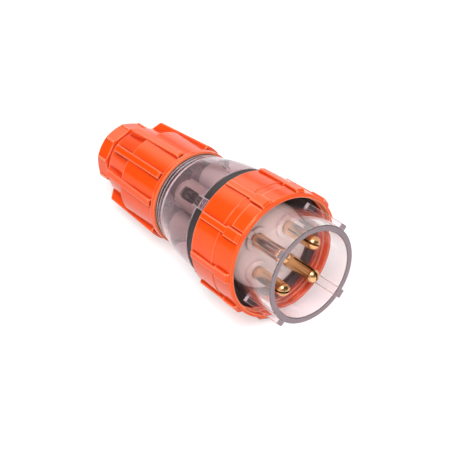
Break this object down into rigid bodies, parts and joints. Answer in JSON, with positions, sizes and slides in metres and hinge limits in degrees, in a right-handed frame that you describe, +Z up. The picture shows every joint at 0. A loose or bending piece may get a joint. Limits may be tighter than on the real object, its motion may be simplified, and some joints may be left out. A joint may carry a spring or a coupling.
{
  "type": "industrial plug",
  "caption": "Round industrial power plug with brass pins in a clear keyed shroud, a threaded orange coupling ring, a clear body, a screwed rear collar and a cable gland.",
  "frame": {"origin": "middle of the footprint, on the table", "axes": "+X towards the pin tips, along the plug; +Z up"},
  "size_m": [0.1964, 0.0848, 0.0839],
  "materials": {
    "orange_plastic": "glossy moulded, orange",
    "clear_plastic": "clear, faint mauve tint",
    "insulator_plastic": "whitish, half clear",
    "carrier_plastic": "light grey",
    "brass": "turned",
    "steel": "zinc plated",
    "black_rubber": "matt",
    "black_plastic": "matt"
  },
  "bodies": {
    "body": {"clear_shroud": "clear_plastic", "clear_body": "clear_plastic", "pin_insulator": "insulator_plastic", "insulator_seal": "black_rubber", "terminal_carrier": "carrier_plastic", "carrier_screws": "steel", "terminal_screws": "steel", "ring_retainer": "black_plastic", "face_gasket": "black_rubber", "neck_seal": "black_rubber", "clamp_base": "black_plastic", "clamp_saddle": "black_plastic", "clamp_screws": "steel", "contact_pin_1": "brass", "contact_pin_2": "brass", "contact_pin_3": "brass", "contact_pin_4": "brass"},
    "coupling": {"coupling_ring": "orange_plastic"},
    "collar_seal": {"collar_seal": "black_rubber"},
    "collar": {"rear_collar": "orange_plastic", "cord_grommet": "black_rubber"},
    "washer": {"thrust_washer": "black_plastic"},
    "nut": {"gland_nut": "orange_plastic"}
  },
  "joints": [
    {"name": "coupling_turn", "type": "hinge", "parent": "body", "child": "coupling", "pos_m": [0.0508, 0, 0.04131], "axis": [0.9956, 0, 0.0938], "continuous": true},
    {"name": "collar_travel", "type": "slide", "parent": "body", "child": "collar_seal", "axis": [-0.9956, 0, -0.0938], "range_m": [0, 0.01251]},
    {"name": "collar_turn", "type": "hinge", "parent": "collar_seal", "child": "collar", "pos_m": [-0.0388, 0, 0.03288], "axis": [-0.9956, 0, -0.0938], "range_deg": [0, 1800]},
    {"name": "nut_travel", "type": "slide", "parent": "collar", "child": "washer", "axis": [-0.9956, 0, -0.0938], "range_m": [0, 0.00601]},
    {"name": "nut_turn", "type": "hinge", "parent": "washer", "child": "nut", "pos_m": [-0.08858, 0, 0.02819], "axis": [-0.9956, 0, -0.0938], "range_deg": [0, 1080]}
  ],
  "couplings": [
    {"joint": "collar_travel", "follows": "collar_turn", "m_per_rad": 0.00039789},
    {"joint": "nut_travel", "follows": "nut_turn", "m_per_rad": 0.00031831}
  ]
}
